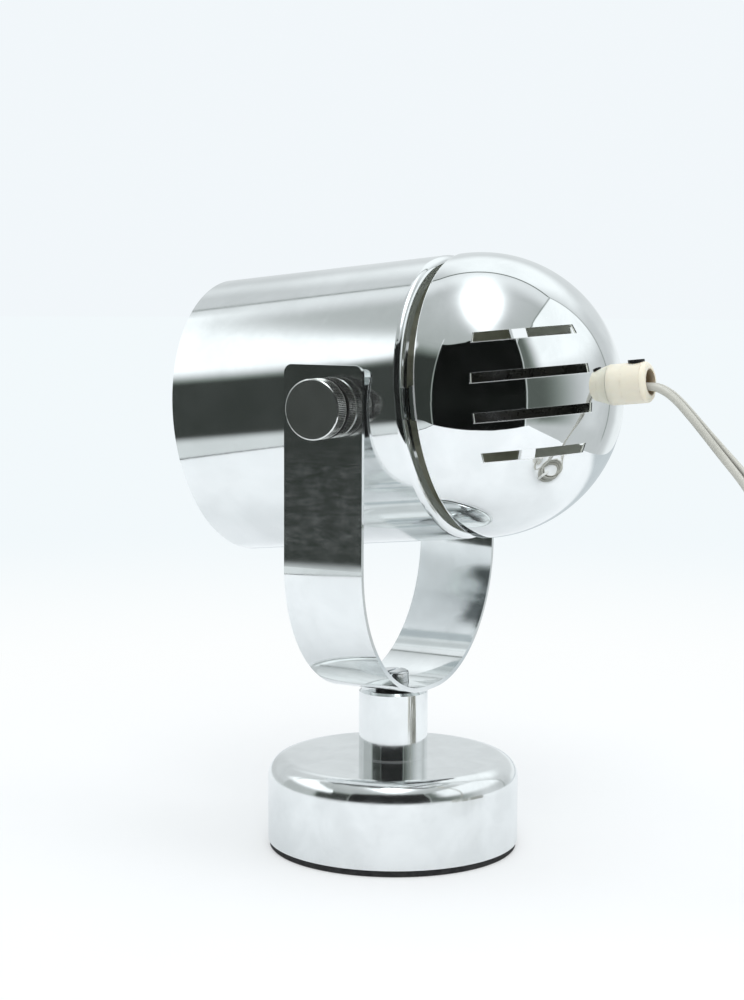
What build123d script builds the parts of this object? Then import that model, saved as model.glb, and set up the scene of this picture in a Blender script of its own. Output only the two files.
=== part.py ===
from build123d import *
import math
import os

os.makedirs("parts", exist_ok=True)

# ---------------------------------------------------------------------------
# Tabletop searchlight lamp: round chromed base, short stem, strip yoke,
# tilting cylindrical shade with a slotted hemispherical rear cap.
# Row frame in mm: origin at the middle of the base's underside, +Z up,
# the shade's mouth faces -Y, the tilt axis runs along X.
# ---------------------------------------------------------------------------

# --- base and stem ---------------------------------------------------------
BASE_R = 45.5            # outside radius of the base shell
BASE_H = 32.7            # top of the base shell
BASE_ROUND = 7.3         # rounding of its upper edge
BASE_WALL = 1.0
PAD_T = 2.4              # felt pad under the base
PAD_R = 44.9
WEIGHT_R = 44.2
WEIGHT_POCKET_R = 30.0
WEIGHT_POCKET_Z = 16.0
STEM_R = 12.5
STEM_BORE_R = 10.5
STEM_TOP = 57.5
STEM_CAP_T = 2.5
BOLT_R = 3.0             # M6 through bolt that is also the swivel pin
BOLT_HOLE_R = 3.1
SWIVEL_WASHER_T = 1.1
SWIVEL_WASHER_R = 6.5

# --- yoke ------------------------------------------------------------------
STRIP_W = 30.2
STRIP_T = 1.6
YOKE_IN = 50.8           # half of the clear width between the arms
YOKE_FLAT = 3.5          # half of the flat at the bottom of the U
YOKE_BOTTOM = STEM_TOP + SWIVEL_WASHER_T      # underside of the strip
YOKE_INNER_BOTTOM = YOKE_BOTTOM + STRIP_T
YOKE_BEND = YOKE_IN - YOKE_FLAT               # inside bend radius
YOKE_BEND_Z = YOKE_INNER_BOTTOM + YOKE_BEND
YOKE_TOP = 176.7
YOKE_CORNER = 3.0

# --- tilt pivot ------------------------------------------------------------
PIVOT_Y = 3.1
PIVOT_Z = 162.5
STUD_R = 3.0
STUD_END = 63.2
KNOB_R = 10.2
KNOB_X0 = YOKE_IN + STRIP_T + 0.05
KNOB_GROOVE_X = 58.0
KNOB_GROOVE_W = 1.5
KNOB_END = 65.3

# --- head, measured along and across its own axis --------------------------
PITCH = 6.0              # mouth points this far below level
AXIS_DROP = 0.8          # the shade's axis lies this far under the pivot
SHADE_R = 50.0
SHEET = 0.8
SHADE_FRONT = -65.3
SHADE_SHOULDER = 22.8
SHOULDER_R = 2.8
LIP_R = 45.5
CAP_RIM = 30.4
DOME_Y = 30.8            # centre of the hemisphere
TAB_DEG = 13.3
SLOT_W = 3.1
SLOT_Z = (-19.9, -6.6, 6.6, 19.9)
SLOT_IN_X = 14.4
SLOT_FRONT = DOME_Y + 18.6
NIPPLE_R = 5.0
NIPPLE_BORE = 3.6
GRIP_R = 7.0
GRIP_END = 94.3
GRIP_BORE = 4.4
GRIP_SCREW_Y = 89.6
CORD_DROP = 1.2          # the cord lies this far under the axis in the grip

# --- cord ------------------------------------------------------------------
CORD_R = 2.0             # plain round stand-in for the 5.4 x 2.7 flat twin cord
CORD_Z = 2.9             # height of its centre where it lies on the table
COIL_C = (-22.0, 197.0)
COIL_IN = 22.0
COIL_OUT = 40.0
COIL_Z0 = 0.6
COIL_Z1 = 17.2

cp, sp = math.cos(math.radians(PITCH)), math.sin(math.radians(PITCH))
PIVOT = Vector(0, PIVOT_Y, PIVOT_Z)
HEAD_Y = Vector(0, cp, sp)          # along the shade, towards the rear cap
HEAD_Z = Vector(0, -sp, cp)         # across the shade, upwards
HEAD_O = PIVOT - HEAD_Z * AXIS_DROP
HEAD_AXIS = Axis(HEAD_O, HEAD_Y)


def head_point(x, y, z):
    """Point given in the head's own axes, measured from the shade's axis."""
    return HEAD_O + Vector(x, 0, 0) + HEAD_Y * y + HEAD_Z * z


def head_plane(deg=0.0):
    """Plane through the shade's axis: local x is the radius, local y the axis."""
    t = math.radians(deg)
    xd = Vector(1, 0, 0) * math.cos(t) + HEAD_Z * math.sin(t)
    return Plane(origin=HEAD_O, x_dir=xd, z_dir=xd.cross(HEAD_Y))


AX = head_plane(0)


def cross_plane(y, z=0.0):
    """Plane square to the shade's axis at the station y, facing the rear."""
    return Plane(origin=HEAD_O + HEAD_Y * y + HEAD_Z * z, x_dir=(-1, 0, 0), z_dir=HEAD_Y)


def side_plane(x, sign=1):
    """Plane square to the tilt axis, facing outwards on the side sign."""
    return Plane(origin=(sign * x, PIVOT_Y, PIVOT_Z), x_dir=(0, sign, 0), z_dir=(sign, 0, 0))


def finish(part, name):
    part.label = name
    export_step(part, "parts/%s.step" % name)


# ===========================================================================
# base
# ===========================================================================
with BuildPart() as base_shell:
    with BuildSketch(Plane.XZ):
        with BuildLine():
            Polyline((BOLT_HOLE_R, BASE_H), (BASE_R - BASE_ROUND, BASE_H))
            RadiusArc((BASE_R - BASE_ROUND, BASE_H), (BASE_R, BASE_H - BASE_ROUND), BASE_ROUND)
            Polyline((BASE_R, BASE_H - BASE_ROUND), (BASE_R, PAD_T),
                     (BASE_R - BASE_WALL, PAD_T), (BASE_R - BASE_WALL, BASE_H - BASE_ROUND))
            RadiusArc((BASE_R - BASE_WALL, BASE_H - BASE_ROUND),
                      (BASE_R - BASE_ROUND, BASE_H - BASE_WALL), -(BASE_ROUND - BASE_WALL))
            Polyline((BASE_R - BASE_ROUND, BASE_H - BASE_WALL), (BOLT_HOLE_R, BASE_H - BASE_WALL),
                     (BOLT_HOLE_R, BASE_H))
        make_face()
    revolve(axis=Axis.Z)
finish(base_shell.part, "base_shell")

with BuildPart() as base_weight:
    with BuildSketch(Plane.XZ):
        with BuildLine():
            wz = BASE_H - BASE_WALL
            Polyline((BOLT_HOLE_R, wz), (WEIGHT_R - 6.6, wz), (WEIGHT_R, wz - 6.6),
                     (WEIGHT_R, PAD_T), (WEIGHT_POCKET_R, PAD_T),
                     (WEIGHT_POCKET_R, WEIGHT_POCKET_Z), (BOLT_HOLE_R, WEIGHT_POCKET_Z),
                     (BOLT_HOLE_R, wz))
        make_face()
    revolve(axis=Axis.Z)
finish(base_weight.part, "base_weight")

with BuildPart() as base_pad:
    Cylinder(PAD_R, PAD_T, align=(Align.CENTER, Align.CENTER, Align.MIN))
    chamfer(base_pad.edges().group_by(Axis.Z)[0], 0.4)
finish(base_pad.part, "base_pad")

with BuildPart() as base_washer:
    with BuildSketch(Plane.XY.offset(WEIGHT_POCKET_Z - 1.6)):
        Circle(9.0)
        Circle(BOLT_HOLE_R, mode=Mode.SUBTRACT)
    extrude(amount=1.6)
finish(base_washer.part, "base_washer")

with BuildPart() as base_nut:
    with BuildSketch(Plane.XY.offset(WEIGHT_POCKET_Z - 1.6 - 5.0)):
        RegularPolygon(5.0, 6, major_radius=False)
        Circle(BOLT_R, mode=Mode.SUBTRACT)
    extrude(amount=5.0)
finish(base_nut.part, "base_nut")

with BuildPart() as stem_tube:
    with BuildSketch(Plane.XZ):
        with BuildLine():
            Polyline((STEM_R, BASE_H), (STEM_R, STEM_TOP - 0.9), (STEM_R - 0.9, STEM_TOP),
                     (BOLT_HOLE_R, STEM_TOP), (BOLT_HOLE_R, STEM_TOP - STEM_CAP_T),
                     (STEM_BORE_R, STEM_TOP - STEM_CAP_T), (STEM_BORE_R, BASE_H),
                     (STEM_R, BASE_H))
        make_face()
    revolve(axis=Axis.Z)
finish(stem_tube.part, "stem_tube")

SEAT_Z = YOKE_INNER_BOTTOM + 0.8      # upper face of the washer under the head
with BuildPart() as centre_bolt:
    with BuildSketch(Plane.XY.offset(6.4)):
        Circle(BOLT_R)
    extrude(amount=SEAT_Z - 6.4)
    with BuildSketch(Plane.XY.offset(SEAT_Z)):
        Circle(5.5)
    extrude(amount=3.3)
    fillet(centre_bolt.edges().group_by(Axis.Z)[-1], 1.0)
    with BuildSketch(Plane.XY.offset(SEAT_Z + 3.3)):
        Rectangle(12.0, 1.3)
    extrude(amount=-1.5, mode=Mode.SUBTRACT)
finish(centre_bolt.part, "centre_bolt")

with BuildPart() as swivel_washer:
    with BuildSketch(Plane.XY.offset(STEM_TOP)):
        Circle(SWIVEL_WASHER_R)
        Circle(BOLT_HOLE_R, mode=Mode.SUBTRACT)
    extrude(amount=SWIVEL_WASHER_T)
finish(swivel_washer.part, "swivel_washer")

# ===========================================================================
# yoke
# ===========================================================================
with BuildPart() as yoke:
    with BuildSketch(Plane.XZ):
        with BuildLine():
            xi, xo, f = YOKE_IN, YOKE_IN + STRIP_T, YOKE_FLAT
            ri, ro = YOKE_BEND, YOKE_BEND + STRIP_T
            zb, zi = YOKE_BOTTOM, YOKE_INNER_BOTTOM
            q = math.sqrt(0.5)
            Polyline((xo, YOKE_BEND_Z), (xo, YOKE_TOP), (xi, YOKE_TOP), (xi, YOKE_BEND_Z))
            ThreePointArc((xi, YOKE_BEND_Z), (f + ri * q, YOKE_BEND_Z - ri * q), (f, zi))
            Line((f, zi), (-f, zi))
            ThreePointArc((-f, zi), (-f - ri * q, YOKE_BEND_Z - ri * q), (-xi, YOKE_BEND_Z))
            Polyline((-xi, YOKE_BEND_Z), (-xi, YOKE_TOP), (-xo, YOKE_TOP), (-xo, YOKE_BEND_Z))
            ThreePointArc((-xo, YOKE_BEND_Z), (-f - ro * q, YOKE_BEND_Z - ro * q), (-f, zb))
            Line((-f, zb), (f, zb))
            ThreePointArc((f, zb), (f + ro * q, YOKE_BEND_Z - ro * q), (xo, YOKE_BEND_Z))
        make_face()
    extrude(amount=STRIP_W / 2, both=True)
    fillet(yoke.edges().filter_by(Axis.X).group_by(Axis.Z)[-1], YOKE_CORNER)
    with BuildSketch(Plane.YZ):
        with Locations((PIVOT_Y, PIVOT_Z)):
            Circle(STUD_R + 0.05)
    extrude(amount=60, both=True, mode=Mode.SUBTRACT)
    with BuildSketch(Plane.XY.offset(YOKE_BOTTOM - 1)):
        Circle(BOLT_R + 0.06)
    extrude(amount=6, mode=Mode.SUBTRACT)
finish(yoke.part, "yoke")

with BuildPart() as bolt_washer:
    with BuildSketch(Plane.XY.offset(SEAT_Z - 0.74)):
        Circle(5.6)
        Circle(BOLT_R + 0.06, mode=Mode.SUBTRACT)
    extrude(amount=0.74)
finish(bolt_washer.part, "bolt_washer")

# ===========================================================================
# head: shade, rear cap and what fixes them
# ===========================================================================
with BuildPart() as shade_tube:
    with BuildSketch(AX):
        with BuildLine():
            q = math.sqrt(0.5)
            c = SHADE_R - SHOULDER_R
            ro, ri = SHOULDER_R, SHOULDER_R - SHEET
            ys = SHADE_SHOULDER
            Polyline((SHADE_R - SHEET, ys), (SHADE_R - SHEET, SHADE_FRONT), (SHADE_R, SHADE_FRONT),
                     (SHADE_R, ys))
            ThreePointArc((SHADE_R, ys), (c + ro * q, ys + ro * q), (c, ys + ro))
            Polyline((c, ys + ro), (LIP_R, ys + ro), (LIP_R, ys + ri), (c, ys + ri))
            ThreePointArc((c, ys + ri), (c + ri * q, ys + ri * q), (SHADE_R - SHEET, ys))
        make_face()
    revolve(axis=HEAD_AXIS)
    with BuildSketch(Plane.YZ):
        with Locations((PIVOT_Y, PIVOT_Z)):
            Circle(STUD_R)
    extrude(amount=60, both=True, mode=Mode.SUBTRACT)
finish(shade_tube.part, "shade_tube")

with BuildPart() as rear_cap:
    with BuildSketch(AX):
        with BuildLine():
            q = math.sqrt(0.5)
            ro, ri = SHADE_R, SHADE_R - SHEET
            hole = NIPPLE_R + 0.1
            yo, yi = math.sqrt(ro**2 - hole**2), math.sqrt(ri**2 - hole**2)
            Line((ro, CAP_RIM), (ro, DOME_Y))
            ThreePointArc((ro, DOME_Y), (ro * q, DOME_Y + ro * q), (hole, DOME_Y + yo))
            Line((hole, DOME_Y + yo), (hole, DOME_Y + yi))
            ThreePointArc((hole, DOME_Y + yi), (ri * q, DOME_Y + ri * q), (ri, DOME_Y))
            Polyline((ri, DOME_Y), (ri, CAP_RIM), (ro, CAP_RIM))
        make_face()
    revolve(axis=HEAD_AXIS)
    # cooling slots, four on each side, parallel to the shade's axis
    for sz in SLOT_Z:
        with BuildSketch(AX.offset(sz)):
            for side in (-1, 1):
                with Locations((side * (SLOT_IN_X + 30), SLOT_FRONT + 30)):
                    Rectangle(60, 60)
        extrude(amount=SLOT_W / 2, both=True, mode=Mode.SUBTRACT)
    # three spring tabs, bent inwards under the shade's lip and out behind it
    for deg in (0, 120, 240):
        with BuildSketch(head_plane(deg - TAB_DEG / 2)):
            with BuildLine():
                Polyline((50.0, CAP_RIM), (50.0, 28.7), (45.1, 26.4), (45.1, 23.9), (48.8, 20.4),
                         (48.8, 14.0), (48.1, 14.0), (48.1, 20.1), (44.4, 23.6), (44.4, 26.85),
                         (49.2, 29.15), (49.2, CAP_RIM), (50.0, CAP_RIM))
            make_face()
        revolve(axis=HEAD_AXIS, revolution_arc=-TAB_DEG)
finish(rear_cap.part, "rear_cap")

with BuildPart() as pivot_studs:
    for s in (-1, 1):
        with BuildSketch(side_plane(45.2, s)):
            Circle(STUD_R)
        extrude(amount=STUD_END - 45.2)
finish(pivot_studs.part, "pivot_studs")

with BuildPart() as stud_nuts:
    for s in (-1, 1):
        with BuildSketch(side_plane(44.4, s)):
            RegularPolygon(5.0, 6, major_radius=False)
            Circle(STUD_R, mode=Mode.SUBTRACT)
        extrude(amount=4.2)
finish(stud_nuts.part, "stud_nuts")

with BuildPart() as tilt_washers:
    for s in (-1, 1):
        with BuildSketch(side_plane(50.02, s)):
            Circle(7.0)
            Circle(STUD_R + 0.05, mode=Mode.SUBTRACT)
        extrude(amount=0.7)
finish(tilt_washers.part, "tilt_washers")


def knob(s):
    with BuildPart() as k:
        with BuildSketch(side_plane(KNOB_X0, s)):
            Circle(KNOB_R)
        extrude(amount=KNOB_END - KNOB_X0)
        chamfer(k.edges().filter_by(GeomType.CIRCLE).sort_by(Axis.X)[-1 if s > 0 else 0], 0.4)
        with BuildSketch(side_plane(KNOB_GROOVE_X, s)):
            Circle(KNOB_R + 1)
            Circle(KNOB_R - 0.9, mode=Mode.SUBTRACT)
        extrude(amount=KNOB_GROOVE_W, mode=Mode.SUBTRACT)
        with BuildSketch(side_plane(KNOB_X0, s)):
            Circle(STUD_R + 0.05)
        extrude(amount=STUD_END + 0.3 - KNOB_X0, mode=Mode.SUBTRACT)
    return k.part


finish(knob(1), "knob_near")
finish(knob(-1), "knob_far")

# ===========================================================================
# head: cord entry, lampholder and lamp
# ===========================================================================
with BuildPart() as nipple:
    with BuildSketch(cross_plane(65.6)):
        Circle(NIPPLE_R)
        Circle(NIPPLE_BORE, mode=Mode.SUBTRACT)
    extrude(amount=87.4 - 65.6)
finish(nipple.part, "nipple")

with BuildPart() as nipple_nut:
    with BuildSketch(cross_plane(75.7)):
        RegularPolygon(7.0, 6, major_radius=False)
        Circle(NIPPLE_R, mode=Mode.SUBTRACT)
    extrude(amount=3.4)
finish(nipple_nut.part, "nipple_nut")

with BuildPart() as cord_grip:
    with BuildSketch(AX):
        with BuildLine():
            Polyline((NIPPLE_R, 80.57), (GRIP_R, 80.34), (GRIP_R, GRIP_END - 1.7))
            ThreePointArc((GRIP_R, GRIP_END - 1.7), (GRIP_R - 0.5, GRIP_END - 0.78),
                          (GRIP_R - 1.5, GRIP_END - 0.32))
            Polyline((GRIP_R - 1.5, GRIP_END - 0.32), (GRIP_BORE, GRIP_END - 0.16),
                     (GRIP_BORE, 87.5), (NIPPLE_R, 87.5), (NIPPLE_R, 80.57))
        make_face()
    revolve(axis=HEAD_AXIS)
    with BuildSketch(Plane(origin=head_point(0, GRIP_SCREW_Y, 0), x_dir=(1, 0, 0), z_dir=HEAD_Z)):
        Circle(1.5)
    extrude(amount=9, mode=Mode.SUBTRACT)
    with BuildSketch(Plane(origin=head_point(0, GRIP_SCREW_Y, 6.85), x_dir=(1, 0, 0), z_dir=HEAD_Z)):
        Circle(2.9)
    extrude(amount=2, mode=Mode.SUBTRACT)
finish(cord_grip.part, "cord_grip")

with BuildPart() as grip_screw:
    with BuildSketch(Plane(origin=head_point(0, GRIP_SCREW_Y, CORD_R - CORD_DROP), x_dir=(1, 0, 0),
                           z_dir=HEAD_Z)):
        Circle(1.5)
    extrude(amount=6.85 - CORD_R + CORD_DROP)
    with BuildSketch(Plane(origin=head_point(0, GRIP_SCREW_Y, 6.85), x_dir=(1, 0, 0), z_dir=HEAD_Z)):
        Circle(2.85)
    extrude(amount=1.05)
    with BuildSketch(Plane(origin=head_point(0, GRIP_SCREW_Y, 7.9), x_dir=(1, 0, 0), z_dir=HEAD_Z)):
        Rectangle(7, 0.8)
    extrude(amount=-0.6, mode=Mode.SUBTRACT)
finish(grip_screw.part, "grip_screw")

with BuildPart() as lampholder_cap:
    with BuildSketch(AX):
        with BuildLine():
            Polyline((NIPPLE_R, 75.5), (8.0, 75.5), (8.0, 69.5), (11.5, 67.6), (17.4, 62.0),
                     (17.4, 50.0), (15.0, 50.0), (15.0, 60.8), (10.6, 65.4), (NIPPLE_R, 65.4),
                     (NIPPLE_R, 75.5))
        make_face()
    revolve(axis=HEAD_AXIS)
finish(lampholder_cap.part, "lampholder_cap")

with BuildPart() as lampholder_skirt:
    with BuildSketch(AX):
        with BuildLine():
            Polyline((13.95, 23.0), (17.2, 23.0), (18.0, 23.8), (18.0, 49.2), (17.4, 50.0),
                     (13.95, 50.0), (13.95, 23.0))
        make_face()
    revolve(axis=HEAD_AXIS)
finish(lampholder_skirt.part, "lampholder_skirt")

with BuildPart() as lampholder_insert:
    with BuildSketch(cross_plane(52.0)):
        Circle(14.7)
    extrude(amount=7.5)
    with BuildSketch(cross_plane(59.5)):
        Rectangle(8.0, 30.0)
    extrude(amount=-2.0, mode=Mode.SUBTRACT)
finish(lampholder_insert.part, "lampholder_insert")

with BuildPart() as screw_shell:
    with BuildSketch(AX):
        with BuildLine():
            Polyline((13.35, 27.0), (13.9, 27.0), (13.9, 50.4), (14.6, 50.4), (14.6, 52.0),
                     (9.0, 52.0), (9.0, 51.4), (13.35, 51.4), (13.35, 27.0))
        make_face()
    revolve(axis=HEAD_AXIS)
finish(screw_shell.part, "screw_shell")

with BuildPart() as centre_contact:
    with BuildSketch(cross_plane(50.9)):
        Rectangle(12.0, 5.0)
    extrude(amount=1.1)
finish(centre_contact.part, "centre_contact")

with BuildPart() as terminal_screws:
    with BuildSketch(cross_plane(59.5)):
        with Locations((-9.5, 0), (9.5, 0)):
            Circle(2.2)
    extrude(amount=2.2)
    with BuildSketch(cross_plane(61.7)):
        with Locations((-9.5, 0), (9.5, 0)):
            Rectangle(5.0, 0.7)
    extrude(amount=-0.8, mode=Mode.SUBTRACT)
finish(terminal_screws.part, "terminal_screws")


def core(side):
    a = head_point(side * 7.0, 60.6, 0)
    b = head_point(side * 3.6, 62.8, -0.6)
    c = head_point(side * 0.95, 64.6, -CORD_DROP)
    d = head_point(side * 0.95, 67.0, -CORD_DROP)
    with BuildPart() as w:
        with BuildLine() as path:
            FilletPolyline(a, b, c, d, radius=1.3)
        with BuildSketch(Plane(origin=path.line @ 0, z_dir=path.line % 0)):
            Circle(0.7)
        sweep()
    return w.part


core_a, core_b = core(1), core(-1)
with BuildPart() as inner_wires:
    add(core_a)
    add(core_b)
finish(inner_wires.part, "inner_wires")

with BuildPart() as bulb_cap:
    with BuildSketch(AX):
        with BuildLine():
            Polyline((12.6, 27.5), (13.15, 27.5), (13.15, 45.8), (9.0, 49.0), (4.6, 49.0),
                     (4.6, 48.4), (8.7, 48.4), (12.6, 45.4), (12.6, 27.5))
        make_face()
    revolve(axis=HEAD_AXIS)
finish(bulb_cap.part, "bulb_cap")

with BuildPart() as bulb_tip:
    with BuildSketch(AX):
        with BuildLine():
            Polyline((0, 47.4), (4.6, 47.4), (4.6, 49.0), (3.6, 50.2), (2.4, 50.9), (0, 50.9),
                     (0, 47.4))
        make_face()
    revolve(axis=HEAD_AXIS)
finish(bulb_tip.part, "bulb_tip")

with BuildPart() as bulb_glass:
    with BuildSketch(AX):
        with BuildLine():
            # outside of a reflector lamp, neck to crown, then back along the inside
            Line((12.6, 40.0), (12.6, 19.0))
            ThreePointArc((12.6, 19.0), (14.8, 7.5), (20.2, -3.0))
            ThreePointArc((20.2, -3.0), (27.4, -17.0), (31.2, -32.5))
            crown = CenterArc((0, -10), 48.0, 270, 30)
            inner = CenterArc((0, -10), 47.0, 270, 30)
            ThreePointArc((31.2, -32.5), (29.8, -44.2), crown @ 1)
            Line(crown @ 0, inner @ 0)
            ThreePointArc(inner @ 1, (28.9, -43.4), (30.2, -32.6))
            ThreePointArc((30.2, -32.6), (26.5, -17.4), (19.3, -3.5))
            ThreePointArc((19.3, -3.5), (13.8, 7.2), (11.6, 19.0))
            Polyline((11.6, 19.0), (11.6, 40.0), (12.6, 40.0))
        make_face()
    revolve(axis=HEAD_AXIS)
finish(bulb_glass.part, "bulb_glass")

# ===========================================================================
# cord, inline switch and plug
# ===========================================================================
def rounded_path(pts):
    """Runs and tangent arcs; each arc as large as its two runs allow."""
    pts = [Vector(*p) for p in pts]
    radii, turns = [], []
    for a, b, c in zip(pts, pts[1:], pts[2:]):
        turn = (b - a).get_angle(c - b)
        run = min((b - a).length, (c - b).length)
        radii.append(0.45 * run / math.tan(math.radians(turn) / 2))
        turns.append(turn)
    return pts, radii, turns


def tube(name, pts, r=CORD_R, cut=None, cut_end=None):
    pts, radii, turns = rounded_path(pts)
    print(name, "runs", [round((b - a).length, 1) for a, b in zip(pts, pts[1:])])
    print(name, "turns", [round(t) for t in turns], "radii", [round(v, 1) for v in radii])
    with BuildPart() as t:
        with BuildLine() as path:
            FilletPolyline(*pts, radius=radii)
        with BuildSketch(Plane(origin=path.line @ 0, z_dir=path.line % 0)):
            Circle(r)
        sweep()
        if cut is not None:
            # the end face lies flat against the piece that the cord leaves
            with BuildSketch(Plane(origin=path.line @ 0, z_dir=path.line % 0)):
                Circle(r)
            extrude(amount=-2.0)
            split(bisect_by=cut, keep=Keep.TOP)
        if cut_end is not None:
            with BuildSketch(Plane(origin=path.line @ 1, z_dir=path.line % 1)):
                Circle(r)
            extrude(amount=2.0)
            split(bisect_by=cut_end, keep=Keep.TOP)
    length = sum(e.length for e in path.line.edges())
    print(name, "length %.1f volume %.1f of %.1f" % (length, t.part.volume, math.pi * r * r * length))
    finish(t.part, name)
    return length


with BuildPart() as cord_stub:
    with BuildSketch(cross_plane(67.0, -CORD_DROP)):
        Circle(CORD_R)
    extrude(amount=GRIP_END - 0.1 - 67.0)
finish(cord_stub.part, "cord_stub")

EXIT = head_point(0, GRIP_END, -CORD_DROP)
print("cord exit", EXIT)

SWITCH_Y0, SWITCH_Y1 = 206.0, 266.0      # ends of the inline switch
SWITCH_X = 38.0
SWITCH_Z = 8.5                           # height of its cord axis above the table

LEAD = [
    tuple(EXIT),
    (0.0, 101.7, 169.05),
    (0.2, 106.1, 166.2),
    (0.5, 111.5, 160.4),
    (1.2, 120.1, 150.6),
    (2.6, 131.6, 136.8),
    (5.6, 144.4, 113.0),
    (10.4, 153.2, 80.0),
    (16.6, 160.0, 46.0),
    (24.6, 169.0, 20.5),
    (32.0, 183.0, 11.6),
    (37.6, 195.0, 8.7),
    (SWITCH_X, SWITCH_Y0, SWITCH_Z),
]
CASE_IN = Plane(origin=(SWITCH_X, SWITCH_Y0, 0), z_dir=(0, -1, 0))
L1 = tube("cord_lead", LEAD, cut=cross_plane(GRIP_END), cut_end=CASE_IN)

LINK = [
    (SWITCH_X, SWITCH_Y1, SWITCH_Z),
    (SWITCH_X, 278.6, SWITCH_Z),
    (30.0, 290.4, 4.6),
    (16.6, 295.4, 2.9),
    (2.8, 291.4, 2.9),
    (-6.2, 280.0, 2.9),
    (-5.2, 265.0, 3.0),
    (-0.6, 251.2, 3.4),
    (3.8, 237.6, 4.6),
    (COIL_C[0] + (COIL_OUT - 1.2) * math.cos(math.radians(42)),
     COIL_C[1] + (COIL_OUT - 1.2) * math.sin(math.radians(42)), 6.0),
]
L2 = tube("cord_link", LINK)

# the flats on the coil where the cord goes in and comes out
TAIL_START = (COIL_C[0] + (COIL_OUT - 1.2) * math.cos(math.radians(150)),
              COIL_C[1] + (COIL_OUT - 1.2) * math.sin(math.radians(150)), 6.0)
PLUG_BACK = Vector(-48.4, 246.2, 6.9)
TAIL = [
    TAIL_START,
    (-53.2, 226.2, 6.2),
    (-50.0, 236.2, 6.9),
    tuple(PLUG_BACK),
]
PLUG_DIR = (PLUG_BACK - Vector(*TAIL[-2])).normalized()
L3 = tube("cord_tail", TAIL)


def end_plane(p, q):
    """Plane through p, square to the run that ends there, facing away from q."""
    p, q = Vector(*p), Vector(*q)
    return Plane(origin=p, z_dir=(q - p))


with BuildPart() as cord_coil:
    with BuildSketch(Plane(origin=(COIL_C[0], COIL_C[1], 0), x_dir=(1, 0, 0), z_dir=(0, -1, 0))):
        with Locations(((COIL_IN + COIL_OUT) / 2, (COIL_Z0 + COIL_Z1) / 2)):
            RectangleRounded(COIL_OUT - COIL_IN, COIL_Z1 - COIL_Z0, 5.0)
    revolve(axis=Axis((COIL_C[0], COIL_C[1], 0), (0, 0, 1)))
    for a, b in ((LINK[-1], LINK[-2]), (TAIL[0], TAIL[1])):
        with BuildSketch(end_plane(a, b)):
            Circle(CORD_R + 1.4)
        extrude(amount=14, mode=Mode.SUBTRACT)
finish(cord_coil.part, "cord_coil")

TIE_DEG = -60
tie_dir = Vector(math.cos(math.radians(TIE_DEG)), math.sin(math.radians(TIE_DEG)), 0)
tie_plane = Plane(origin=(COIL_C[0], COIL_C[1], 0), x_dir=tie_dir,
                  z_dir=tie_dir.cross(Vector(0, 0, 1)))
with BuildPart() as cord_tie:
    with BuildSketch(tie_plane):
        with Locations(((COIL_IN + COIL_OUT) / 2 - 0.2, (COIL_Z0 + COIL_Z1) / 2)):
            Rectangle(COIL_OUT - COIL_IN + 2.2, COIL_Z1 - COIL_Z0 + 1.6)
            Rectangle(COIL_OUT - COIL_IN + 0.6, COIL_Z1 - COIL_Z0, mode=Mode.SUBTRACT)
    extrude(amount=4.0, both=True)
finish(cord_tie.part, "cord_tie")

# --- inline switch: two half shells, a rocker, two screws -------------------
SW_L = SWITCH_Y1 - SWITCH_Y0
SW_W = 27.0
SW_PART = 8.5            # parting plane of the two halves
SW_TOP = 18.5
SW_C = (SWITCH_X, (SWITCH_Y0 + SWITCH_Y1) / 2)
WALL = 1.8
ROCK_L, ROCK_W = 17.0, 11.0

with BuildPart() as switch_case_bottom:
    with BuildSketch(Plane.XY):
        with Locations(SW_C):
            RectangleRounded(SW_W, SW_L, 9.0)
    extrude(amount=SW_PART)
    fillet(switch_case_bottom.edges().group_by(Axis.Z)[0], 1.2)
    with BuildSketch(Plane.XY.offset(WALL)):
        with Locations(SW_C):
            RectangleRounded(SW_W - 2 * WALL, SW_L - 2 * WALL, 7.2)
    extrude(amount=SW_PART - WALL, mode=Mode.SUBTRACT)
    with BuildSketch(Plane.XY):
        with Locations((SW_C[0], SW_C[1] - 21), (SW_C[0], SW_C[1] + 21)):
            Circle(3.2)
    extrude(amount=SW_PART)
    with BuildSketch(Plane.XY):
        with Locations((SW_C[0], SW_C[1] - 21), (SW_C[0], SW_C[1] + 21)):
            Circle(1.5)
    extrude(amount=SW_PART, mode=Mode.SUBTRACT)
    with BuildSketch(Plane.XY):
        with Locations((SW_C[0], SW_C[1] - 21), (SW_C[0], SW_C[1] + 21)):
            Circle(2.6)
    extrude(amount=2.2, mode=Mode.SUBTRACT)
finish(switch_case_bottom.part, "switch_case_bottom")

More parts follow.
